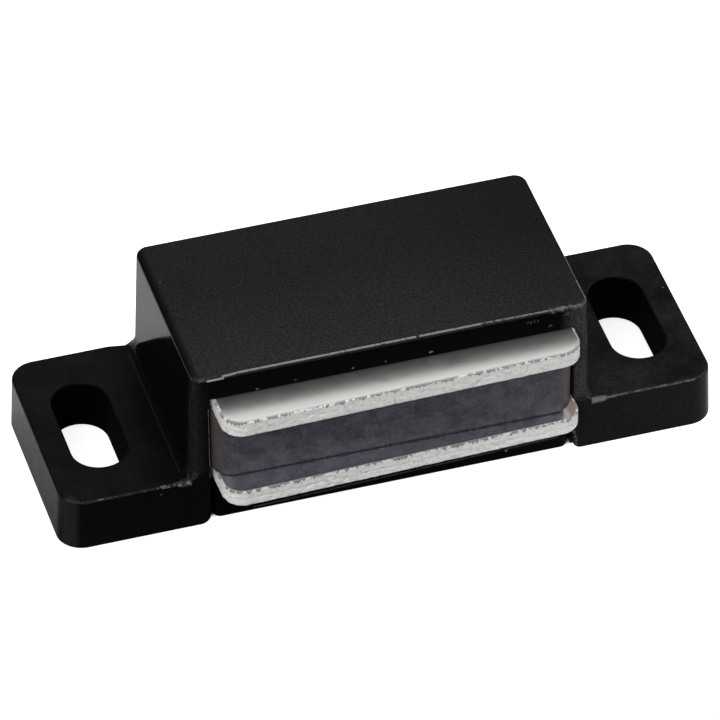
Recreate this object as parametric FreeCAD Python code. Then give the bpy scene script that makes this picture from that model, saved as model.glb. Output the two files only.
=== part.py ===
import FreeCAD, Part
import math
import os

from FreeCAD import Vector

# Magnetic cabinet catch. A black moulded housing with two slotted ears holds a ferrite magnet
# between two steel pole plates, whose edges stand out at the front to meet a strike plate.
# A cover pressed in from below keeps them in. Sizes are in millimetres, +Z points away from the
# mounting face, -Y is the front, and the origin is the middle of the mounting face.

# Housing, outside
housing_depth = 18.58
ear_length = 11.19
ear_thickness = 5.0
ear_corner_radius = 2.2
ear_end_draft_deg = 2.2
ear_edge_radius = 0.3
block_length = 34.68
end_draft_deg = 1.4
face_draft_deg = 1.8
block_corner_radius = 1.1
block_edge_radius = 0.4
root_radius = 2.25
root_rise = 1.45

# Screw slots, which run from front to back
slot_from_end = 4.93
slot_width = 4.75
slot_length = 10.7
slot_rim_radius = 0.2

# Trimmed facets on the ears' front and back edges, beside the block
front_facet_size = 0.48
front_facet_length = 1.7
front_facet_offset = 0.05
front_facet_full_share = 0.45
back_facet_size = 0.5
back_facet_length = 3.1
back_facet_offset = 0.0
back_facet_full_share = 0.1

# Housing, inside
end_wall = 1.54
roof_wall = 2.2
back_wall = 1.5
cavity_corner_radius = 1.0
mouth_corner_radius = 0.85
mouth_corner_depth = 0.7
rib_width = 1.4
rib_height = 0.75
rib_position = -2.5

# Shallow relief under each ear, inside a rim
relief_depth = 0.4
relief_rim = 1.3

# Magnet pack
plate_thickness = 1.5
magnet_height = 6.0
plate_reach = 3.0
magnet_setback = 1.72
magnet_depth = 15.0
plate_front_radius = 1.8
plate_back_radius = 0.8
magnet_corner_radius = 1.8

# How far the loose plates and magnet have turned, and slid towards the right
upper_plate_turn_deg = 1.1
upper_plate_slide = 0.07
lower_plate_turn_deg = 1.6
lower_plate_slide = 0.03
magnet_turn_deg = -0.7

# Cover
cover_raise = 0.1
cover_height = 4.1
cover_setback = 0.15
cover_floor = 1.4
cover_rim = 1.3
cover_rib_count = 3
cover_rib_width = 1.2
cover_corner_radius = 0.7
cover_edge_radius = 0.4

# Snap nibs on the cover's ends and their pockets in the housing
nib_length = 3.0
nib_height = 0.9
nib_reach = 0.55
nib_raise = 1.7
nib_position = -1.0

# Clearances
plate_end_clearance = 0.24
plate_back_clearance = 0.75
plate_roof_clearance = 0.08
magnet_end_clearance = 0.3
notch_end_clearance = 0.15
notch_side_clearance = 0.55
rib_magnet_clearance = 0.2
cover_end_clearance = 0.3
cover_back_clearance = 0.22
nib_clearance = 0.1

# Sizes that follow from the ones above
front_y = -housing_depth / 2
back_y = housing_depth / 2
overall_length = block_length + 2 * ear_length
slot_spacing = overall_length - 2 * slot_from_end
pack_bottom = cover_raise + cover_height
upper_plate_bottom = pack_bottom + plate_thickness + magnet_height
cavity_top = upper_plate_bottom + plate_thickness + plate_roof_clearance
housing_height = cavity_top + roof_wall
block_rise = housing_height - ear_thickness
end_taper = block_rise * math.tan(math.radians(end_draft_deg))
face_taper = block_rise * math.tan(math.radians(face_draft_deg))
cavity_half = block_length / 2 - end_wall
cavity_back = back_y - face_taper - back_wall
plate_front = front_y - plate_reach
plate_back = cavity_back - plate_back_clearance
plate_half = cavity_half - plate_end_clearance
magnet_half = cavity_half - magnet_end_clearance
cover_half = cavity_half - cover_end_clearance
rib_tip = cavity_half - rib_height
overshoot = 1.0


def corner_arc(x, y, radius, start_deg, z):
    """Quarter circle, counter-clockwise, round the point (x, y)."""
    points = []
    for turn in (0, 45, 90):
        angle = math.radians(start_deg + turn)
        points.append(Vector(x + radius * math.cos(angle), y + radius * math.sin(angle), z))
    return Part.Arc(*points)


def joined(curves):
    """Closed wire through curves that follow each other, with straight lines between them."""
    edges = []
    for index, curve in enumerate(curves):
        following = curves[(index + 1) % len(curves)]
        edges.append(curve.toShape())
        edges.append(Part.LineSegment(curve.EndPoint, following.StartPoint).toShape())
    return Part.Wire(edges)


def rounded_outline(half, y0, y1, front_radius, back_radius, z):
    """Rectangle from -half to half and from y0 to y1, with round front and back corners."""
    front = half - front_radius
    back = half - back_radius
    return joined(
        [
            corner_arc(-front, y0 + front_radius, front_radius, 180, z),
            corner_arc(front, y0 + front_radius, front_radius, 270, z),
            corner_arc(back, y1 - back_radius, back_radius, 0, z),
            corner_arc(-back, y1 - back_radius, back_radius, 90, z),
        ]
    )


def prism(wire, height):
    """The solid that a flat wire sweeps straight up."""
    return Part.Face(wire).extrude(Vector(0, 0, height))


def box(x0, x1, y0, y1, z0, z1):
    return Part.makeBox(x1 - x0, y1 - y0, z1 - z0, Vector(x0, y0, z0))


def edges_in(shape, low, high):
    """The edges whose box lies between two corners."""
    margin = 0.01
    room = FreeCAD.BoundBox(*low, *high)
    room.enlarge(margin)
    return [edge for edge in shape.Edges if room.isInside(edge.BoundBox)]


def ear_plate():
    """The plate that forms both ears: drafted at its ends, with a small radius round its top edge
    and a shallow relief underneath."""
    half = overall_length / 2
    radius = ear_corner_radius
    top_half = half - ear_thickness * math.tan(math.radians(ear_end_draft_deg))
    foot = rounded_outline(half, front_y, back_y, radius, radius, 0)
    head = rounded_outline(top_half, front_y, back_y, radius, radius, ear_thickness)
    plate = Part.makeLoft([foot, head], True, True)
    top = edges_in(plate, (-half, front_y, ear_thickness), (half, back_y, ear_thickness))
    plate = plate.makeFillet(ear_edge_radius, top)
    reach = half - relief_rim
    depth = back_y - relief_rim
    inner_radius = radius - relief_rim / 2
    relief = prism(rounded_outline(reach, -depth, depth, inner_radius, inner_radius, 0), relief_depth)
    middle = cavity_half + relief_rim
    return plate.cut(relief.cut(box(-middle, middle, front_y, back_y, 0, relief_depth)))


def block():
    """The drafted block between the ears. Its ends flare out over their lowest stretch on a large
    radius, which is centred so low that it meets the ears' top face at an angle. The flare is cut
    off flush with the ears' front and back faces."""
    half = block_length / 2
    radius = block_corner_radius
    sink = root_radius - root_rise
    level = ear_thickness - sink
    foot_half = half + sink * math.tan(math.radians(end_draft_deg))
    foot_y = back_y + sink * math.tan(math.radians(face_draft_deg))
    foot = rounded_outline(foot_half, -foot_y, foot_y, radius, radius, level)
    head = rounded_outline(
        half - end_taper, front_y + face_taper, back_y - face_taper, radius, radius, housing_height
    )
    body = Part.makeLoft([foot, head], True, True)
    top = edges_in(body, (-half, front_y, housing_height), (half, back_y, housing_height))
    body = body.makeFillet(block_edge_radius, top)

    reach = foot_half + root_radius + 0.05
    spare = 2 * root_radius
    body = body.fuse(box(-reach, reach, front_y - spare, back_y + spare, relief_depth, level))
    root = edges_in(body, (-foot_half, -foot_y, level), (foot_half, foot_y, level))
    body = body.makeFillet(root_radius, root)
    return body.common(box(-reach, reach, front_y, back_y, relief_depth, housing_height))


def slotted(body, x):
    """A body with one screw slot through its ear: straight sides, round ends, softened top rim."""
    radius = slot_width / 2
    run = slot_length / 2 - radius
    back, front = Vector(x, run, 0), Vector(x, -run, 0)
    side, tip = Vector(radius, 0, 0), Vector(0, radius, 0)
    back_end = Part.Arc(back + side, back + tip, back - side)
    front_end = Part.Arc(front - side, front - tip, front + side)
    body = body.cut(prism(joined([back_end, front_end]), ear_thickness))
    up = Vector(0, 0, ear_thickness)
    rim = edges_in(body, front - side - tip + up, back + side + tip + up)
    return body.makeFillet(slot_rim_radius, rim)


def root_facet(side, facing, size, length, offset, full_share):
    """Cutter for a small sloping facet on an ear's front (-1) or back (1) edge. It has its full
    size over the first share of its length, and then runs out along the ear."""
    start = block_length / 2 + offset
    sections = []
    for along, share in ((0, 1.0), (full_share, 1.0), (1, 0.05)):
        x = side * (start + length * along)
        outside = facing * (housing_depth / 2 + overshoot)
        inside = facing * (housing_depth / 2 - size * share - overshoot)
        corners = [
            Vector(x, outside, ear_thickness - size * share - overshoot),
            Vector(x, outside, ear_thickness + overshoot),
            Vector(x, inside, ear_thickness + overshoot),
        ]
        sections.append(Part.makePolygon(corners + corners[:1]))
    return Part.makeLoft(sections, True, True)


def cavity():
    """Cutter for the room inside, open at the front and below, with rounded corners at the back
    and at the foot of its mouth."""
    radius = cavity_corner_radius
    ahead = front_y - 2 * radius
    room = prism(rounded_outline(cavity_half, ahead, cavity_back, radius, radius, 0), cavity_top)
    for side in (-1, 1):
        room = room.fuse(mouth_corner(side))
    return room


def mouth_corner(side):
    """Cutter that rounds the lower edge of the cavity's end wall at its mouth."""
    radius = mouth_corner_radius
    wall = side * cavity_half
    centre = Vector(wall + side * radius, front_y - overshoot, radius)
    slant = radius * math.sqrt(0.5)
    arc = Part.Arc(
        centre - Vector(side * radius, 0, 0),
        centre - Vector(side * slant, 0, slant),
        centre - Vector(0, 0, radius),
    )
    corner = Vector(wall, centre.y, 0)
    edges = [
        arc.toShape(),
        Part.LineSegment(arc.EndPoint, corner).toShape(),
        Part.LineSegment(corner, arc.StartPoint).toShape(),
    ]
    return Part.Face(Part.Wire(edges)).extrude(Vector(0, overshoot + mouth_corner_depth, 0))


def locator(side, root, z0, z1):
    """Upright rib or peg that stands in the notch of a plate, from its root to the shared tip."""
    low, high = sorted((side * root, side * rib_tip))
    y0 = rib_position - rib_width / 2
    return box(low, high, y0, y0 + rib_width, z0, z1)


def nib(side, growth):
    """Wedge on the cover's end that snaps outwards, or its pocket when it is grown by a clearance."""
    root = side * (cover_half - overshoot / 2)
    face = side * cover_half
    tip = side * (cover_half + nib_reach + growth)
    y0 = nib_position - nib_length / 2 - growth
    z0 = cover_raise + nib_raise - growth
    z1 = cover_raise + nib_raise + nib_height + growth
    corners = [
        Vector(root, y0, z0),
        Vector(face, y0, z0),
        Vector(tip, y0, (z0 + z1) / 2 - nib_height / 4),
        Vector(tip, y0, (z0 + z1) / 2),
        Vector(face, y0, z1),
        Vector(root, y0, z1),
    ]
    outline = Part.Face(Part.makePolygon(corners + corners[:1]))
    return outline.extrude(Vector(0, nib_length + 2 * growth, 0))


def make_housing():
    front_facet = front_facet_size, front_facet_length, front_facet_offset, front_facet_full_share
    back_facet = back_facet_size, back_facet_length, back_facet_offset, back_facet_full_share
    body = ear_plate()
    for side in (-1, 1):
        body = slotted(body, side * slot_spacing / 2)
        body = body.cut(root_facet(side, 1, *back_facet))
    body = body.fuse(block()).cut(cavity())
    rib_root = cavity_half + end_wall / 2
    rib_foot = upper_plate_bottom + rib_magnet_clearance
    for side in (-1, 1):
        body = body.cut(root_facet(side, -1, *front_facet))
        body = body.cut(nib(side, nib_clearance))
        body = body.fuse(locator(side, rib_root, rib_foot, cavity_top))
    return body.removeSplitter()


def make_plate(bottom, turn_deg, slide):
    """Blanked steel pole plate with a notch in each end for a rib or a peg."""
    top = bottom + plate_thickness
    radii = plate_front_radius, plate_back_radius
    outline = rounded_outline(plate_half, plate_front, plate_back, *radii, bottom)
    plate = prism(outline, plate_thickness)
    notch = rib_width / 2 + notch_side_clearance
    depth = rib_tip - notch_end_clearance
    for side in (-1, 1):
        low, high = sorted((side * depth, side * cavity_half))
        plate = plate.cut(box(low, high, rib_position - notch, rib_position + notch, bottom, top))
    plate.rotate(Vector(0, rib_position, 0), Vector(0, 0, 1), turn_deg)
    plate.translate(Vector(slide, 0, 0))
    return plate


def make_magnet():
    """Pressed ferrite slab with rounded upright corners."""
    front = plate_front + magnet_setback
    radius = magnet_corner_radius
    bottom = pack_bottom + plate_thickness
    outline = rounded_outline(magnet_half, front, front + magnet_depth, radius, radius, bottom)
    magnet = prism(outline, magnet_height)
    magnet.rotate(Vector(0, front + magnet_depth / 2, 0), Vector(0, 0, 1), magnet_turn_deg)
    return magnet


def make_cover():
    """Shallow tray, open upwards, whose rim and cross ribs carry the magnet pack. A peg on each
    end of the rim stands in the lower plate's notch."""
    front = front_y + cover_setback
    back = cavity_back - cover_back_clearance
    radius = cover_corner_radius
    tray = prism(rounded_outline(cover_half, front, back, radius, radius, cover_raise), cover_height)
    under = edges_in(tray, (-cover_half, front, cover_raise), (cover_half, back, cover_raise))
    tray = tray.makeFillet(cover_edge_radius, under)
    inner_half = cover_half - cover_rim
    bay_count = cover_rib_count + 1
    bay_width = (2 * inner_half - cover_rib_count * cover_rib_width) / bay_count
    floor = cover_raise + cover_floor
    for index in range(bay_count):
        x = -inner_half + index * (bay_width + cover_rib_width)
        tray = tray.cut(box(x, x + bay_width, front + cover_rim, back - cover_rim, floor, pack_bottom))
    peg_top = pack_bottom + plate_thickness - rib_magnet_clearance
    for side in (-1, 1):
        tray = tray.fuse(nib(side, 0))
        tray = tray.fuse(locator(side, cover_half, pack_bottom - overshoot, peg_top))
    return tray.removeSplitter()


def save(name, shape):
    shape.exportStep("parts/" + name + ".step")
    print(name, shape.isValid(), len(shape.Solids), round(shape.Volume, 1))


os.makedirs("parts", exist_ok=True)
save("housing", make_housing())
save("base_cover", make_cover())
save("lower_pole_plate", make_plate(pack_bottom, lower_plate_turn_deg, lower_plate_slide))
save("ferrite_magnet", make_magnet())
save("upper_pole_plate", make_plate(upper_plate_bottom, upper_plate_turn_deg, upper_plate_slide))
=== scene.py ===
import math

import bpy
import numpy as np
from mathutils import Matrix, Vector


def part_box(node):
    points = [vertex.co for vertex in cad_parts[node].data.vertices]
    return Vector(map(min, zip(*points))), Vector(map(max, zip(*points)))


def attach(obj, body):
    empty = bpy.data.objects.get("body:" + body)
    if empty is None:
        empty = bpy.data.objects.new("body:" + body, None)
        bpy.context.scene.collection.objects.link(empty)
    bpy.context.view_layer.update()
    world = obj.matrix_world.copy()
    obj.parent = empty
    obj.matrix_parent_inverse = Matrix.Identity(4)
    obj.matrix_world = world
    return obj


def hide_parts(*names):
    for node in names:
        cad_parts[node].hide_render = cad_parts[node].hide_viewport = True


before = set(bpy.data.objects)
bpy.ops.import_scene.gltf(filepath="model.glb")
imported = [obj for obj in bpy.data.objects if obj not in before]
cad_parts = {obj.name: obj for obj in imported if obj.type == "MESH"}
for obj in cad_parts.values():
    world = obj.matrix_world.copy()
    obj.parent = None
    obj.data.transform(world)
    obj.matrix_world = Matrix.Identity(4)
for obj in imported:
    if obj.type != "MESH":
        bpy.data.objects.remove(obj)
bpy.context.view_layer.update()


# The housing is one injection moulding in black ABS: a drafted block with two slotted ears. Its
# outside is finely grained, its end walls came off the tool smooth, and its front edges are
# nicked where it knocked against other parts. Painted highlights run along its rounded edges.

MM = 0.001
# pale colour of the scuffs, and of the painted highlights along rounded edges
scuff_and_highlight_colour = (0.34, 0.34, 0.34, 1)
black_sheen = 0.045


def fill(tree, node, inputs):
    """Links the sockets given to the node's inputs, and sets its other inputs to plain values."""
    for name, value in inputs.items():
        if isinstance(value, bpy.types.NodeSocket):
            tree.links.new(value, node.inputs[name])
        else:
            node.inputs[name].default_value = value


def put(tree, kind, inputs=None, **settings):
    """Adds a shader node, makes its settings, and fills the inputs that are named."""
    made = tree.nodes.new("ShaderNode" + kind)
    for name, value in settings.items():
        setattr(made, name, value)
    fill(tree, made, inputs or {})
    return made


def maths(tree, operation, first, second=0.5, clamp=False):
    """One sum on two values or sockets."""
    made = put(tree, "Math", {0: first, 1: second}, operation=operation, use_clamp=clamp)
    return made.outputs[0]


def product(tree, result, *factors):
    """All the values multiplied together."""
    for factor in factors:
        result = maths(tree, "MULTIPLY", result, factor)
    return result


def spread(tree, value, low, high, to_low=0.0, to_high=1.0):
    """A value carried from one range to another, held at the ends."""
    inputs = {0: value, 1: low, 2: high, 3: to_low, 4: to_high}
    return put(tree, "MapRange", inputs, clamp=True).outputs[0]


def either_side(tree, value, low, high, to_low=0.0, to_high=1.0):
    """The same for how far the value is from zero."""
    return spread(tree, maths(tree, "ABSOLUTE", value), low, high, to_low, to_high)


def band(tree, value, low, full, fading, high):
    """1 from full to fading, and 0 below low and above high."""
    return product(tree, spread(tree, value, low, full), spread(tree, value, fading, high, 1.0, 0.0))


def mixed(tree, factor, first, second):
    """Two values mixed by a factor."""
    return put(tree, "Mix", {0: factor, 2: first, 3: second}).outputs[0]


def blended(tree, factor, first, second):
    """Two colours mixed by a factor."""
    return put(tree, "Mix", {0: factor, 6: first, 7: second}, data_type="RGBA").outputs[2]


def scaled(tree, vector, factor):
    """A vector or a colour times a factor."""
    return put(tree, "VectorMath", {0: vector, "Scale": factor}, operation="SCALE").outputs[0]


def parted(tree, vector):
    """The three parts of a vector."""
    return put(tree, "SeparateXYZ", {0: vector}).outputs


def noise(tree, position, scale, detail=2.0, roughness=0.5, stretch=None):
    """Cloudy noise from 0 to 1, with features of about 1 / scale millimetres."""
    if stretch:
        position = put(tree, "Mapping", {"Vector": position, "Scale": stretch}).outputs[0]
    inputs = {"Vector": position, "Scale": scale, "Detail": detail, "Roughness": roughness}
    return put(tree, "TexNoise", inputs).outputs[0]


def bumped(tree, height, depth, strength=0.5):
    """The normal tilted by a height map whose full range is the depth in millimetres."""
    inputs = {"Strength": strength, "Distance": depth * MM, "Height": height}
    return put(tree, "Bump", inputs).outputs[0]


def new_group(name, inputs, outputs):
    """An empty node group with named inputs and outputs, each given as name and socket type."""
    group = bpy.data.node_groups.new(name, "ShaderNodeTree")
    for direction, sockets in (("INPUT", inputs), ("OUTPUT", outputs)):
        for label, kind in sockets.items():
            group.interface.new_socket(label, in_out=direction, socket_type="NodeSocket" + kind)
    given = group.nodes.new("NodeGroupInput").outputs
    result = group.nodes.new("NodeGroupOutput")
    return group, given, result


def use(tree, group, **inputs):
    """Places a group in a material and fills its inputs."""
    made = tree.nodes.new("ShaderNodeGroup")
    made.node_tree = group
    fill(tree, made, inputs)
    return made.outputs


def new_material(name):
    """A material with its Principled shader, and the object's coordinates in millimetres."""
    material = bpy.data.materials.new(name)
    material.use_nodes = True
    tree = material.node_tree
    shader = tree.nodes["Principled BSDF"]
    position = scaled(tree, put(tree, "TexCoord").outputs["Object"], 1 / MM)
    return material, tree, shader, position


def mould_grain():
    """Group: spark-eroded grain with faint swirls of flow, in the colour and in the roughness.
    Grain is how high it stands, and Contrast how far it strays from the base colour."""
    group, given, result = new_group(
        "mould_grain",
        {"Position": "Vector", "Grain": "Float", "Base": "Color", "Contrast": "Float",
         "Roughness": "Float"},
        {"Color": "Color", "Roughness": "Float", "Height": "Float"},
    )
    fine = noise(group, given["Position"], 5.5, 2.0, 0.6)
    coarse = noise(group, given["Position"], 0.9, 2.0)
    flow = noise(group, given["Position"], 0.16, 3.0, 0.55)
    relief = maths(group, "ADD", fine, product(group, coarse, 0.6))
    rough = maths(group, "ADD", given["Roughness"], spread(group, fine, 0.3, 0.7, -0.06, 0.06))
    rough = maths(group, "ADD", rough, spread(group, flow, 0.3, 0.7, -0.04, 0.04))
    mottle = spread(group, mixed(group, 0.9, flow, fine), 0.35, 0.65, -1.0, 1.0)
    light = maths(group, "ADD", product(group, mottle, given["Contrast"]), 1.0)
    fill(group, result, {
        "Color": scaled(group, given["Base"], light),
        "Roughness": rough,
        "Height": product(group, relief, given["Grain"]),
    })
    return group


def wear_and_highlight_line():
    """Group: how pale a mark leaves the surface, where a mark is a scuff or a painted highlight. It
    is Paleness near the straight line from Start to End, fades out from half of Reach to Reach,
    and where Cover is low it stays only in the high spots of the Ragged noise."""
    group, given, result = new_group(
        "wear_and_highlight_line",
        {"Position": "Vector", "Ragged": "Float", "Start": "Vector", "End": "Vector",
         "Reach": "Float", "Cover": "Float", "Paleness": "Float"},
        {"Mask": "Float"},
    )

    def vector(operation, first, second, output="Value"):
        return put(group, "VectorMath", {0: first, 1: second}, operation=operation).outputs[output]

    along = vector("SUBTRACT", given["End"], given["Start"], "Vector")
    out = vector("SUBTRACT", given["Position"], given["Start"], "Vector")
    reached = vector("DOT_PRODUCT", out, along)
    share = maths(group, "DIVIDE", reached, vector("DOT_PRODUCT", along, along), clamp=True)
    off_line = vector("DISTANCE", out, scaled(group, along, share))
    distance = maths(group, "DIVIDE", off_line, given["Reach"])
    near = spread(group, distance, 0.5, 1.0, 1.0, 0.0)
    left = maths(group, "ADD", given["Ragged"], given["Cover"])
    mask = product(group, near, spread(group, left, 0.92, 1.08), given["Paleness"])
    fill(group, result, {"Mask": mask})
    return group


grain_group = mould_grain()
wear_and_highlight_group = wear_and_highlight_line()


def wear_and_highlight_marks(tree, position, marks):
    """How pale the marks leave the surface, scuffs and painted highlights alike, which is the
    strongest mark at each point. A mark is the two ends of its line in millimetres, its reach on
    both sides, its cover and its paleness. The last two go from 0 to 1."""
    ragged = noise(tree, position, 3.0, 3.0, 0.7)
    wear_and_highlight = 0.0
    for start, end, reach, cover, paleness in marks:
        mark = use(tree, wear_and_highlight_group, Position=position, Ragged=ragged, Start=start, End=end,
                   Reach=reach, Cover=cover, Paleness=paleness)
        wear_and_highlight = maths(tree, "MAXIMUM", wear_and_highlight, mark["Mask"])
    return wear_and_highlight


housing_marks = [
    # the ears' top front edges: painted highlights on the rounding and on the facets by the block, with
    # nicks
    ((17.55, -9.10, 4.80), (18.5, -9.20, 4.88), 0.30, 1.0, 0.36),
    ((18.3, -9.20, 4.86), (19.6, -9.25, 4.92), 0.12, 0.80, 0.24),
    ((19.3, -9.22, 4.93), (27.0, -9.22, 4.93), 0.12, 0.50, 0.22),
    ((-17.5, -9.10, 4.80), (-18.5, -9.14, 4.84), 0.26, 0.52, 0.62),
    ((-18.6, -9.16, 4.88), (-20.4, -9.20, 4.92), 0.20, 0.42, 0.50),
    ((-20.4, -9.22, 4.94), (-25.6, -9.22, 4.94), 0.08, 0.42, 0.16),
    ((-25.3, -9.20, 4.94), (-25.0, -9.20, 4.94), 0.11, 0.60, 0.22),
    # painted highlights in the crease between the left ear and the block, and on the left ear's outer
    # front corner
    ((-18.02, 7.6, 5.02), (-18.05, -7.9, 5.02), 0.10, 1.0, 0.022),
    ((-27.9, -8.75, 0.40), (-27.7, -8.65, 4.50), 0.95, 1.0, 0.035),
    # the block's top front edge: a painted highlight along its rounding, with nicks and a scuffed end
    ((-13.2, -8.76, 15.43), (2.0, -8.76, 15.43), 0.11, 0.62, 0.62),
    ((2.4, -8.76, 15.43), (7.6, -8.76, 15.43), 0.11, 0.60, 0.60),
    ((7.6, -8.76, 15.43), (16.2, -8.82, 15.40), 0.10, 0.54, 0.42),
    ((13.7, -8.86, 15.40), (16.6, -8.80, 15.38), 0.34, 0.44, 0.36),
    # the block's top left front corner: nicks and a painted highlight
    ((-14.5, -8.84, 15.38), (-13.4, -8.78, 15.42), 0.12, 0.60, 0.62),
    ((-15.8, -8.96, 15.26), (-14.5, -8.96, 15.28), 0.12, 0.80, 0.90),
    ((-16.5, -8.75, 15.36), (-15.7, -8.92, 15.34), 0.10, 0.50, 0.40),
    ((-17.0, -8.40, 15.36), (-16.5, -8.75, 15.36), 0.28, 0.42, 0.34),
    # a painted highlight along the block's top right edge, and a speck below its corner
    ((17.0, -2.60, 15.40), (17.0, -5.60, 15.38), 0.10, 0.48, 0.34),
    ((17.0, -5.60, 15.38), (17.0, -8.20, 15.33), 0.15, 0.52, 0.60),
    ((17.05, -8.25, 14.58), (17.05, -8.20, 14.53), 0.14, 0.70, 0.40),
    # a painted highlight along the opening's left edge, and nicks above the opening
    ((-15.82, -9.25, 5.00), (-15.82, -9.02, 12.3), 0.07, 0.62, 0.45),
    ((11.7, -9.00, 14.70), (12.5, -9.00, 14.72), 0.16, 0.45, 0.34),
    ((15.0, -9.00, 14.78), (15.4, -9.00, 14.86), 0.22, 0.45, 0.22),
    ((13.6, -9.00, 13.88), (13.8, -9.00, 13.93), 0.14, 0.50, 0.26),
    ((-11.7, -9.00, 13.44), (-11.6, -9.00, 13.45), 0.10, 0.60, 0.34),
    ((-8.4, -9.00, 13.58), (-8.3, -9.00, 13.59), 0.08, 0.60, 0.26),
    ((-3.44, -9.00, 13.62), (-3.40, -9.00, 13.63), 0.10, 0.60, 0.40),
    ((-0.64, -9.00, 13.62), (-0.58, -9.00, 13.63), 0.08, 0.60, 0.30),
    ((3.2, -9.00, 13.66), (3.4, -9.00, 13.67), 0.11, 0.60, 0.55),
    # single specks on the front, the right ear's top and the block's top
    ((-20.06, -9.29, 4.20), (-20.0, -9.29, 4.22), 0.09, 0.70, 0.22),
    ((15.9, -9.29, 1.90), (16.15, -9.29, 0.40), 0.16, 0.50, 0.30),
    ((27.75, 2.75, 5.00), (27.80, 2.70, 5.00), 0.09, 0.80, 0.26),
    ((-16.2, 3.98, 15.48), (-16.15, 3.98, 15.48), 0.08, 0.80, 0.22),
    ((-12.9, -4.55, 15.48), (-12.86, -4.55, 15.48), 0.08, 0.80, 0.14),
]


# Places in the materials are in millimetres from the middle of the base. The block's ends are at
# 17.3 on both sides, the ears' ends at 28.5 and the front at -9.3, the slots reach 5.35 from the
# middle to the front and to the back, and the ears' tops are 5 high.

def painted_light_tone(tree, position, normal):
    """A factor on the base colour, chosen by where a face lies and which way it looks, which paints
    light and shade into the colour. The block's top is palest at its front left, as a painted
    sheen, with a dark line of painted shade along its left edge. The ears' tops are clouded, the
    left one fades towards the block as painted shade, and the right one is painted lighter. Of the
    upright faces, the one right of the opening is palest as painted light, the block's front left
    corner has a painted highlight, and the ears' fronts are painted lighter on the right. The
    rounded front edges are painted paler than the faces that they join, as highlights."""
    across, away, height = parted(tree, position)
    above_ears = spread(tree, height, 5.0, 6.2)

    # painted sheen: the block's top is lighter towards its front and darker towards its right
    block_top = maths(tree, "ADD", spread(tree, away, -8.0, 2.0, 1.9, 1.15),
                      spread(tree, across, 2.0, 15.0, 0.0, -0.45))
    # painted shade: a dark line along the block's top left edge
    painted_left_edge_shade = spread(tree, across, -16.70, -16.30, 0.15, 1.0)
    clouds = spread(tree, noise(tree, position, 0.35, 4.0, 0.65), 0.35, 0.65, 0.10, 0.75)
    # painted shade: the left ear's top darkens towards the block
    off_block = spread(tree, across, -21.0, -17.5, 1.0, 0.1)
    right_ear = spread(tree, across, 0.0, 1.0)
    # painted light: the right ear's top is lighter than the left one's
    ear_top = product(tree, clouds, maths(tree, "MAXIMUM", off_block, right_ear),
                      spread(tree, across, -20.0, 20.0, 0.7, 1.6))
    tops = mixed(tree, above_ears, ear_top, product(tree, block_top, painted_left_edge_shade))

    # painted light right of the opening, and a painted highlight on the block's front left corner
    block_wall = maths(tree, "ADD", spread(tree, across, 14.5, 16.0, 0.0, 4.2),
                       spread(tree, across, -17.0, -15.6, 1.6, 0.10))
    at_front = spread(tree, away, -8.3, -7.3, 1.0, 0.15)
    # painted light: the ears' upright faces are lighter on the right than on the left
    ear_wall = spread(tree, across, -10.0, 10.0, 0.38, 0.95)
    walls = mixed(tree, above_ears, ear_wall, product(tree, block_wall, at_front))

    painted_tone = mixed(tree, spread(tree, normal[2], 0.72, 0.92), walls, tops)
    # painted highlight: rounded front edges lighter than the faces that they join
    painted_edge_highlight = product(tree, spread(tree, normal[1], -0.45, -0.20, 1.0, 0.0),
                          spread(tree, normal[2], 0.25, 0.45),
                          spread(tree, away, -8.5, -8.0, 1.8, 0.0))
    return maths(tree, "ADD", painted_tone, painted_edge_highlight)


def satin_black():
    """Black ABS: finely grained, painted dead black inside the slots as shade, smooth with upright
    streaks on the end walls, a little duller at the ears' outer ends, and pale at its marks, which
    are scuffs and painted highlights."""
    material, tree, shader, position = new_material("satin_black_moulding")
    base_colour = (0.0085, 0.0085, 0.0087, 1)
    grain = use(tree, grain_group, Position=position, Grain=1.0, Base=base_colour,
                Contrast=0.62, Roughness=0.40)
    normal = parted(tree, put(tree, "NewGeometry").outputs["Normal"])
    across, away, height = parted(tree, position)

    # painted shade: the colour goes to black inside the slots
    in_slot = product(tree, either_side(tree, away, 6.0, 7.0, 1.0, 0.0),
                      either_side(tree, across, 27.0, 27.5, 1.0, 0.0),
                      spread(tree, height, 4.8, 4.95, 1.0, 0.0))
    painted_tone = product(tree, painted_light_tone(tree, position, normal), maths(tree, "SUBTRACT", 1.0, in_slot))
    # pale marks: nicks and scuffs, and painted highlights along rounded edges
    wear_and_highlight = wear_and_highlight_marks(tree, position, housing_marks)

    outer_end = either_side(tree, across, 27.4, 27.9)
    free = maths(tree, "MAXIMUM", spread(tree, height, 5.1, 5.5), outer_end)
    end_wall = product(tree, either_side(tree, normal[0], 0.68, 0.80), free)
    streaks = noise(tree, position, 3.0, 5.0, 0.7, (1.0, 1.0, 0.25))
    smooth = maths(tree, "ADD", spread(tree, streaks, 0.42, 0.62, 0.06, 0.16),
                   product(tree, outer_end, 0.12))
    rough = mixed(tree, end_wall, grain["Roughness"], smooth)
    grained = product(tree, grain["Height"], spread(tree, end_wall, 0.0, 1.0, 1.0, 0.15))

    fill(tree, shader, {
        "Base Color": blended(tree, wear_and_highlight, scaled(tree, grain["Color"], painted_tone), scuff_and_highlight_colour),
        "Roughness": mixed(tree, maths(tree, "MAXIMUM", wear_and_highlight, in_slot), rough, 0.9),
        "Normal": bumped(tree, grained, 0.03),
        "Specular IOR Level": black_sheen,
    })
    return material


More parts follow.
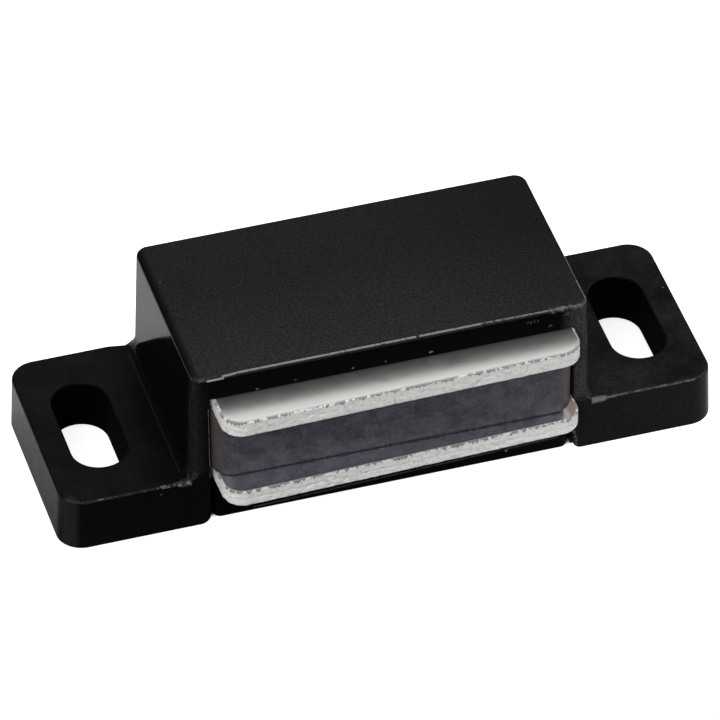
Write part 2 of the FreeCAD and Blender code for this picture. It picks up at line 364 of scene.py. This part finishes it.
def merged_copy(node, name):
    """The solid's own mesh with its doubles merged, shaded smooth but for its sharp edges. Large
    faces outweigh small ones in the normals, so that they shade flat."""
    sharp_deg = 32
    decimals = 7
    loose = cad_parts[node].data
    points = np.empty(len(loose.vertices) * 3)
    loose.vertices.foreach_get("co", points)
    corners = np.empty(len(loose.loops), dtype=np.int64)
    loose.loops.foreach_get("vertex_index", corners)
    rounded = np.round(points.reshape(-1, 3), decimals)
    places, first = np.unique(rounded, axis=0, return_inverse=True)
    faces = first.ravel()[corners].reshape(-1, 3)
    whole = (faces[:, 0] != faces[:, 1]) & (faces[:, 1] != faces[:, 2]) & (faces[:, 2] != faces[:, 0])
    mesh = bpy.data.meshes.new(name)
    mesh.from_pydata(places.tolist(), [], faces[whole].tolist())
    mesh.update()
    mesh.shade_smooth()
    mesh.set_sharp_from_angle(angle=math.radians(sharp_deg))
    piece = bpy.data.objects.new(name, mesh)
    bpy.context.scene.collection.objects.link(piece)
    piece.modifiers.new("flat_faces", "WEIGHTED_NORMAL").keep_sharp = True
    return piece


housing = merged_copy("housing", "moulded_housing")
housing.data.materials.append(satin_black())
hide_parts("housing")
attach(housing, "root")


# The cover is a second, plainer moulding in the same black, pressed in from below under the
# magnet pack; its colour is set darker than the housing's as painted shade under the plates.
# Only its front rim shows, a strip with a fine broken grey line along it.

cover_marks = [
    ((9.95, -9.14, 1.10), (10.0, -9.14, 1.15), 0.12, 0.80, 0.50),
    ((-12.0, -9.14, 0.62), (14.5, -9.14, 1.50), 0.12, 0.58, 0.12),
]


def cover_black():
    """Nearly dead black, darker than the housing as painted shade, with an even grain, one pale speck
    and a broken pale line along the strip.
    """
    material, tree, shader, position = new_material("cover_black_moulding")
    # painted shade: the same black as the housing, set much darker
    base_colour = (0.001, 0.001, 0.001, 1)
    grain = use(tree, grain_group, Position=position, Grain=0.8, Base=base_colour,
                Contrast=0.5, Roughness=0.42)
    wear_and_highlight = wear_and_highlight_marks(tree, position, cover_marks)
    fill(tree, shader, {
        "Base Color": blended(tree, wear_and_highlight, grain["Color"], scuff_and_highlight_colour),
        "Roughness": grain["Roughness"],
        "Normal": bumped(tree, grain["Height"], 0.012),
        "Specular IOR Level": black_sheen,
    })
    return material


cover = merged_copy("base_cover", "pressed_in_cover")
cover.data.materials.append(cover_black())
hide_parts("base_cover")
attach(cover, "root")


# The pole plates are blanked from 1.5 mm strip and then zinc plated. Each has rounded corners and
# a notch in both ends. The punch left a sheared edge: a ragged pulled down lip at the top, and
# below it a bright, torn and pitted face. The upper plate is satin, the lower one polished.

housing_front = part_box("housing")[0].y
plate_reach = 3.0 * MM
plate_front = housing_front - plate_reach
plate_half = 15.56 * MM
plate_depth = 19.0 * MM
plate_front_radius = 1.8 * MM
plate_back_radius = 0.8 * MM
notch_y = -2.5 * MM
notch_half = 1.25 * MM
notch_depth = 0.66 * MM
notch_radius = 0.1 * MM
plate_step = 0.06 * MM


def rounded_path(corners, radii, step):
    """Closed path, counter-clockwise, through the corner points. Each corner is a circular arc of
    its radius that touches both runs, and the runs between are straight. Gives the points,
    about one step apart, and the unit normals that point out of the path."""
    corners = np.array(corners, float)
    before = corners - np.roll(corners, 1, axis=0)
    before /= np.linalg.norm(before, axis=1)[:, None]
    after = np.roll(before, -1, axis=0)
    turn = np.arctan2(before[:, 0] * after[:, 1] - before[:, 1] * after[:, 0], (before * after).sum(1))
    tangent = np.array(radii) * np.tan(np.abs(turn) / 2)
    points, normals = [], []
    for index, corner in enumerate(corners):
        along = before[index]
        outward = np.array([along[1], -along[0]])
        side = np.sign(turn[index])
        start = corner - along * tangent[index]
        centre = start - outward * radii[index] * side
        count = max(2, math.ceil(abs(turn[index]) * radii[index] / step))
        angle = np.linspace(0, turn[index], count + 1)
        rays = np.outer(np.cos(angle), outward) + np.outer(np.sin(angle), along)
        points.append(centre + rays * radii[index] * side)
        normals.append(rays)
        following = (index + 1) % len(corners)
        end = corners[following] - after[index] * tangent[following]
        last = points[-1][-1]
        count = max(1, math.ceil(np.linalg.norm(end - last) / step))
        share = np.arange(1, count)[:, None] / count
        points.append(last + share * (end - last))
        normals.append(np.repeat([[after[index][1], -after[index][0]]], count - 1, axis=0))
    return np.concatenate(points), np.concatenate(normals)


def rough_field(shape, reach, seed):
    """Smooth random heights of unit spread on a grid that closes on itself. White noise is
    multiplied in the frequency plane by a bell curve, which is narrow where the reach, in grid
    steps, is long."""
    white = np.random.default_rng(seed).standard_normal(shape)
    down = np.fft.fftfreq(shape[0])[:, None] * reach[0]
    along = np.fft.fftfreq(shape[1])[None, :] * reach[1]
    bell = np.exp(-((down * math.pi) ** 2 + (along * math.pi) ** 2))
    field = np.fft.ifft2(np.fft.fft2(white) * bell).real
    return (field - field.mean()) / field.std()


def ringed_slab(name, points, normals, inset, height, attributes):
    """Closed slab. Ring j of the grid is the outline moved in by inset[j] along its normals, at
    height[j], and flat faces close the first and last ring. Inset is an array of rings by points.
    Height and the attributes are such arrays too, or one column that holds for whole rings."""
    rings, count = inset.shape
    flat = points[None] - inset[:, :, None] * normals[None]
    level = np.broadcast_to(height, inset.shape)
    vertices = np.concatenate([flat, level[:, :, None]], axis=2).reshape(-1, 3)
    corner = np.arange((rings - 1) * count).reshape(rings - 1, count)
    beside = np.roll(corner, -1, axis=1)
    quads = np.stack([corner, corner + count, beside + count, beside], axis=2).reshape(-1, 4)
    last = (rings - 1) * count
    faces = quads.tolist() + [list(range(count)), list(range(last + count - 1, last - 1, -1))]
    mesh = bpy.data.meshes.new(name)
    mesh.from_pydata(vertices.tolist(), [], faces)
    for label, values in attributes.items():
        held = mesh.attributes.new(label, "FLOAT", "POINT").data
        held.foreach_set("value", np.broadcast_to(values, inset.shape).astype(np.float32).ravel())
    mesh.update()
    mesh.shade_smooth()
    piece = bpy.data.objects.new(name, mesh)
    bpy.context.scene.collection.objects.link(piece)
    return piece


def turned(points, centre_y, angle_deg, slide):
    """Points or normals turned about (0, centre_y) and slid along X."""
    cos, sin = math.cos(math.radians(angle_deg)), math.sin(math.radians(angle_deg))
    x, y = points[:, 0], points[:, 1] - centre_y
    return np.stack([x * cos - y * sin + slide, x * sin + y * cos + centre_y], axis=1)


def pole_plate(node, name, turn_deg, slide, groove_depth, seed):
    """One plate between the heights of its solid. Across the edge run the rings: the flat top,
    the pulled down lip with its bites, the torn face with pits and a groove at mid-height, and
    the sharp lower edge. The lip and the groove are bell curves over the drop. Two attributes
    hold each point's way in from the edge and its drop from the top, in millimetres."""
    low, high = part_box(node)
    back = plate_front + plate_depth
    notch_x = plate_half - notch_depth
    right_side = [
        (plate_half, notch_y - notch_half), (notch_x, notch_y - notch_half),
        (notch_x, notch_y + notch_half), (plate_half, notch_y + notch_half),
    ]
    left_side = [(-x, y) for x, y in reversed(right_side)]
    corners = [(-plate_half, plate_front), (plate_half, plate_front), *right_side,
               (plate_half, back), (-plate_half, back), *left_side]
    radii = [plate_front_radius] * 2 + [notch_radius] * 4 + [plate_back_radius] * 2 + [notch_radius] * 4
    points, normals = rounded_path(corners, radii, plate_step)
    points = turned(points, notch_y, turn_deg, slide)
    normals = turned(normals, 0, turn_deg, 0)

    inward = np.array([0.60, 0.30, 0.22, 0.15, 0.09, 0.04, 0.01, *[0.0] * 13, 0.02, 0.08, 0.60])
    drop = np.array([0.0, 0.0, 0.004, 0.014, 0.035, 0.07, 0.12, 0.19, 0.28, 0.38, 0.49, 0.61, 0.68,
                     0.75, 0.82, 0.89, 1.01, 1.14, 1.26, 1.37, 1.46, 1.5, 1.5])
    drop *= (high.z - low.z) / (drop[-1] * MM)
    edge_width = 0.12
    set_back = 0.012
    streak_depth = 0.006
    torn_drop = 0.5
    tear_depth = 0.012
    pit_depth = 0.05
    lip_drop = 0.09
    lip_spread = 0.07
    bite_in = 0.014
    bite_down = 0.012
    groove_drop = 0.75
    groove_spread = 0.05

    grid = len(inward), len(points)
    ragged = np.clip(rough_field(grid, (1.5, 4), seed), -1, 2)
    streaks = np.clip(rough_field(grid, (12, 3), seed + 1), -2, 2)
    pits = np.clip(rough_field(grid, (1.2, 3), seed + 2) - 0.9, 0, None)
    bites = np.clip(rough_field((1, len(points)), (1, 6), seed + 3) - 0.1, 0, 1.6)
    edge = np.clip(1 - inward / edge_width, 0, 1)[:, None]
    torn = np.clip(drop / torn_drop, 0, 1)[:, None] ** 2
    lip = np.exp(-((drop - lip_drop) / lip_spread) ** 2)[:, None] * edge
    groove = np.exp(-((drop - groove_drop) / groove_spread) ** 2)[:, None]
    rough_edge = set_back + streak_depth * streaks + torn * (tear_depth * ragged + pit_depth * pits)
    inset = inward[:, None] + edge * (rough_edge + groove_depth * groove) + lip * bite_in * bites
    height = high.z - MM * (drop[:, None] + lip * bite_down * bites)
    ways = {"inward": inward[:, None], "drop": drop[:, None]}
    return ringed_slab(name, points, normals, MM * np.maximum(inset, 0), height, ways)


def zinc_plate(name, face_colour, roughness, metal, groove_tone, browned):
    """Zinc: an even, lightly stained face with a thin grey line of painted shade where the lip starts
    to pull down, browned at its right end where asked for, and a torn edge that is nearly white,
    mottled, cracked upright and darkened along its top with painted shade in the bites."""
    material, tree, shader, position = new_material(name)
    stain_colour = (0.56, 0.55, 0.52, 1)
    brown_colour = (0.24, 0.155, 0.12, 1)
    torn_colour = (0.95, 0.95, 0.93, 1)
    mottle_colour = (0.66, 0.66, 0.64, 1)
    # dark colour of the upright cracks, and of the painted shade in the lip's crease and bites
    crack_and_shade_colour = (0.10, 0.10, 0.095, 1)
    inward = put(tree, "Attribute", attribute_name="inward").outputs["Fac"]
    drop = put(tree, "Attribute", attribute_name="drop").outputs["Fac"]
    torn = spread(tree, inward, 0.12, 0.26, 1.0, 0.0)
    stains = noise(tree, position, 0.7, 4.0, 0.65)
    speckle = noise(tree, position, 2.6, 4.0, 0.65)
    cracks = noise(tree, position, 3.2, 3.0, 0.6, (1.0, 1.0, 0.2))
    teeth = noise(tree, position, 2.6, 3.0, 0.6, (1.0, 1.0, 0.25))

    # painted shade: a thin grey line on the crease where the lip starts to pull down
    lip_crease_shade = band(tree, inward, 0.20, 0.24, 0.26, 0.30)
    brown = spread(tree, parted(tree, position)[0], 14.3, 14.9, 0.0, browned)
    face = blended(tree, spread(tree, stains, 0.58, 0.8, 0.0, 0.4), face_colour, stain_colour)
    face = blended(tree, product(tree, lip_crease_shade, 0.30), face, crack_and_shade_colour)
    face = blended(tree, brown, face, brown_colour)
    face_rough = spread(tree, stains, 0.3, 0.7, roughness - 0.03, roughness + 0.04)
    face_rough = mixed(tree, brown, face_rough, 0.7)

    grooved = product(tree, band(tree, drop, 0.66, 0.74, 0.76, 0.84), groove_tone)
    bite_drop = spread(tree, teeth, 0.42, 0.68, -0.02, 0.32)
    # painted shade: dark bites along the top of the torn face, under the lip
    bite_shade = spread(tree, maths(tree, "SUBTRACT", drop, bite_drop), -0.02, 0.02, 0.75, 0.0)
    side = blended(tree, spread(tree, speckle, 0.52, 0.66, 0.0, 0.8), torn_colour, mottle_colour)
    side = blended(tree, spread(tree, cracks, 0.66, 0.72, 0.0, 0.6), side, crack_and_shade_colour)
    side = blended(tree, grooved, side, mottle_colour)
    side = blended(tree, spread(tree, drop, 0.10, 0.36, 0.75, 0.0), side, mottle_colour)
    side = blended(tree, bite_shade, side, crack_and_shade_colour)
    side_rough = spread(tree, speckle, 0.3, 0.7, 0.75, 0.95)

    relief = product(tree, maths(tree, "ADD", speckle, cracks), torn)
    height = maths(tree, "ADD", product(tree, stains, 0.1), relief)
    bare = product(tree, spread(tree, torn, 0.0, 1.0, metal, 0.0), maths(tree, "SUBTRACT", 1.0, brown))
    fill(tree, shader, {
        "Base Color": blended(tree, torn, face, side),
        "Roughness": mixed(tree, torn, face_rough, side_rough),
        "Metallic": bare,
        "Normal": bumped(tree, height, 0.02, 0.6),
        "Specular IOR Level": 0.2,
    })
    return material


satin_zinc = zinc_plate("zinc_plated_strip", (0.67, 0.67, 0.65, 1), roughness=0.30, metal=0.92,
                        groove_tone=0.15, browned=0.0)
polished_zinc = zinc_plate("zinc_plated_strip_polished", (0.90, 0.91, 0.97, 1), roughness=0.10,
                           metal=0.97, groove_tone=0.55, browned=0.95)
for node, name, turn_deg, slide, groove_depth, seed, zinc in (
    ("upper_pole_plate", "upper_zinc_plate", 1.1, 0.07 * MM, 0.0, 11, satin_zinc),
    ("lower_pole_plate", "lower_zinc_plate", 1.6, 0.03 * MM, 0.03, 23, polished_zinc),
):
    plate = pole_plate(node, name, turn_deg, slide, groove_depth, seed)
    plate.data.materials.append(zinc)
    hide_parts(node)
    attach(plate, "root")


# The magnet is a pressed and sintered ferrite block with rounded upright corners, ground flat
# above and below. It is held only by its own pull between the two plates.

magnet_half = 15.5 * MM
magnet_depth = 15.0 * MM
magnet_setback = 1.72 * MM
magnet_radius = 1.8 * MM
magnet_turn_deg = -0.7
magnet_step = 0.08 * MM
magnet_marks = [
    ((13.4, -10.60, 6.10), (14.6, -10.30, 6.5), 0.45, 0.42, 0.60),
    ((11.34, -10.7, 6.5), (11.34, -10.7, 9.6), 0.06, 0.75, 0.12),
]


def ferrite_block():
    """The block between the heights of its solid, with edges that crumble away from the ground
    faces in an exponential curve, and a faint waviness on the pressed sides."""
    low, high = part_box("ferrite_magnet")
    front = plate_front + magnet_setback
    back = front + magnet_depth
    corners = [(-magnet_half, front), (magnet_half, front), (magnet_half, back), (-magnet_half, back)]
    points, normals = rounded_path(corners, [magnet_radius] * 4, magnet_step)
    points = turned(points, (front + back) / 2, magnet_turn_deg, 0)
    normals = turned(normals, 0, magnet_turn_deg, 0)

    flat_inward = 0.5
    inward = np.array([flat_inward, 0.09, 0.05, 0.02, *[0.0] * 9, 0.02, 0.05, 0.09, flat_inward])
    drop = np.array([0, 0, 0.012, 0.04, 0.09, 0.5, 1.2, 2.0, 2.8, 3.6, 4.4, 5.2,
                     5.91, 5.96, 5.988, 6.0, 6.0])
    drop *= (high.z - low.z) / (drop[-1] * MM)
    set_back = 0.008
    wave_depth = 0.004
    crumble_depth = 0.05
    rim_height = 0.06

    grid = len(inward), len(points)
    wavy = np.clip(rough_field(grid, (4, 30), 5), -2, 2)
    crumbled = np.clip(rough_field(grid, (1.5, 5), 7) - 0.8, 0, 2)
    side = (inward < flat_inward)[:, None]
    rim = np.exp(-np.minimum(drop, drop[-1] - drop) / rim_height)[:, None]
    inset = inward[:, None] + side * (set_back + wave_depth * wavy + crumble_depth * rim * crumbled)
    return ringed_slab("ferrite_block", points, normals, MM * inset, high.z - MM * drop[:, None], {})


def grey_ferrite():
    """Dull bluish grey, cloudy, browned towards both ends and ragged dark at its foot with painted
    shade where it sits on the lower plate, with upright streaks of the die, bare specks near the
    lower right corner and one upright scratch."""
    material, tree, shader, position = new_material("sintered_ferrite")
    grey = (0.036, 0.037, 0.048, 1)
    pale = (0.088, 0.088, 0.106, 1)
    brown = (0.085, 0.060, 0.050, 1)
    bare = (0.30, 0.30, 0.31, 1)
    black = (0, 0, 0, 1)
    clouds = noise(tree, position, 0.8, 5.0, 0.65)
    streaks = noise(tree, position, 1.8, 3.0, 0.6, (1.0, 1.0, 0.08))
    speckle = noise(tree, position, 3.6, 4.0, 0.65)
    ragged = noise(tree, position, 3.0, 3.0, 0.7)
    across, _, height = parted(tree, position)

    ends = maths(tree, "MAXIMUM", spread(tree, across, 13.4, 15.2),
                 spread(tree, across, -15.4, -14.5, 1.0, 0.0))
    browned = product(tree, ends, spread(tree, streaks, 0.3, 0.6, 0.4, 1.0))
    foot = maths(tree, "SUBTRACT", height, product(tree, ragged, 0.5))
    colour = blended(tree, spread(tree, mixed(tree, 0.4, clouds, speckle), 0.40, 0.60), grey, pale)
    colour = blended(tree, browned, colour, brown)
    colour = blended(tree, wear_and_highlight_marks(tree, position, magnet_marks), colour, bare)
    # painted shade: a ragged black line along the magnet's foot, where it sits on the lower plate
    colour = blended(tree, spread(tree, foot, 5.55, 5.66, 0.92, 0.0), colour, black)
    relief = maths(tree, "ADD", speckle, product(tree, streaks, 0.5))
    fill(tree, shader, {
        "Base Color": colour,
        "Roughness": spread(tree, streaks, 0.3, 0.7, 0.42, 0.60),
        "Normal": bumped(tree, relief, 0.012),
        "Specular IOR Level": 0.4,
    })
    return material


magnet = ferrite_block()
magnet.data.materials.append(grey_ferrite())
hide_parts("ferrite_magnet")
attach(magnet, "root")


# The studio: a white floor at the mounting face, painted dark in front of the part and far off as
# shade, soft light from a pale ceiling that is brighter behind the part than in front of it, and
# two soft lamps.

floor_half = 3.0
floor_gap = 0.02 * MM
white = (1, 1, 1, 1)


def white_floor():
    """A matt floor that keeps the part's shadow. Its colour is white behind the part and to its
    right, and painted dark in front of it and far off as shade. Where the camera sees it, and more
    faintly in polished faces, its own light lifts it to the white of the backdrop, but not under
    the block."""
    material, tree, shader, position = new_material("white_floor")
    across, away, _ = parted(tree, position)
    far = put(tree, "VectorMath", {0: position}, operation="LENGTH").outputs["Value"]
    rightward = product(tree, maths(tree, "MAXIMUM", across, -5.0), 0.6)
    bright_way = maths(tree, "ADD", away, rightward)
    # painted shade: the floor's colour darkens in front of the part and far off
    lit = product(tree, spread(tree, bright_way, -22.0, 8.0, 0.05, 1.0),
                  spread(tree, far, 90.0, 220.0, 1.0, 0.05))
    path = put(tree, "LightPath").outputs
    in_metal = product(tree, path["Is Glossy Ray"], lit, 0.1)
    to_camera = product(tree, path["Is Camera Ray"], spread(tree, lit, 0.0, 1.0, 1.0, 0.80))
    off_block = maths(tree, "MAXIMUM", either_side(tree, across, 17.0, 17.5),
                      either_side(tree, away, 8.3, 8.7))
    fill(tree, shader, {
        "Base Color": blended(tree, lit, (0, 0, 0, 1), (0.82, 0.82, 0.82, 1)),
        "Roughness": 1.0,
        "Specular IOR Level": 0.0,
        "Emission Color": white,
        "Emission Strength": product(tree, maths(tree, "MAXIMUM", to_camera, in_metal), off_block),
    })
    return material


floor_mesh = bpy.data.meshes.new("floor")
floor_corners = np.array([(-1, -1), (1, -1), (1, 1), (-1, 1)]) * floor_half
floor_mesh.from_pydata([(x, y, -floor_gap) for x, y in floor_corners], [], [(0, 1, 2, 3)])
floor_mesh.materials.append(white_floor())
floor = bpy.data.objects.new("floor", floor_mesh)
bpy.context.scene.collection.objects.link(floor)

world = bpy.data.worlds.new("studio")
bpy.context.scene.world = world
world.use_nodes = True
room = world.node_tree
direction = parted(room, put(room, "TexCoord").outputs["Generated"])
ceiling = spread(room, direction[2], 0.30, 0.66, 0.0, 1.1)
behind = spread(room, direction[1], -0.6, 0.5, 0.35, 1.1)
camera_ray = put(room, "LightPath").outputs["Is Camera Ray"]
strength = mixed(room, camera_ray, product(room, ceiling, behind), 1.0)
fill(room, room.nodes["Background"], {"Color": white, "Strength": strength})


def soft_lamp(name, direction, distance, size, power):
    """Square area lamp that shines on the part from the direction given."""
    direction = np.array(direction) / np.linalg.norm(direction)
    data = bpy.data.lights.new(name, "AREA")
    data.shape = "SQUARE"
    data.size = size
    data.energy = power
    lamp = bpy.data.objects.new(name, data)
    bpy.context.scene.collection.objects.link(lamp)
    lamp.location = direction * distance
    lamp.rotation_euler = lamp.location.to_track_quat("Z", "Y").to_euler()


soft_lamp("front_softbox", (-0.46, -0.72, 0.52), distance=0.9, size=0.36, power=4.6)
soft_lamp("right_softbox", (0.72, 0.10, 0.68), distance=0.9, size=0.45, power=3.0)

# The camera stands far off with a long lens, a little to the left of the part's front.
camera_azimuth = math.radians(-17.14)
camera_elevation = math.radians(41.04)
camera_roll = math.radians(0.13)
camera_distance = 608.1 * MM
lens_mm = 360.0
sensor_mm = 36.0
picture_size = 720
origin_pixel = np.array([360.31, 414.72])

sin_a, cos_a = math.sin(camera_azimuth), math.cos(camera_azimuth)
sin_e, cos_e = math.sin(camera_elevation), math.cos(camera_elevation)
backward = np.array([sin_a * cos_e, -cos_a * cos_e, sin_e])
level_right = np.array([cos_a, sin_a, 0])
level_up = np.array([-sin_a * sin_e, cos_a * sin_e, cos_e])
right = math.cos(camera_roll) * level_right + math.sin(camera_roll) * level_up
up = math.cos(camera_roll) * level_up - math.sin(camera_roll) * level_right
pixel_size = camera_distance * sensor_mm / lens_mm / picture_size
shift_right, shift_down = (origin_pixel - picture_size / 2) * pixel_size
camera_data = bpy.data.cameras.new("camera")
camera_data.lens = lens_mm
camera_data.sensor_width = sensor_mm
camera_data.clip_start = 0.01
camera_data.clip_end = 10.0
camera = bpy.data.objects.new("camera", camera_data)
bpy.context.scene.collection.objects.link(camera)
placing = np.eye(4)
placing[:3, :3] = np.stack([right, up, backward], axis=1)
placing[:3, 3] = backward * camera_distance - right * shift_right + up * shift_down
camera.matrix_world = Matrix(placing.tolist())
bpy.context.scene.camera = camera

bpy.context.scene.view_settings.view_transform = "Standard"
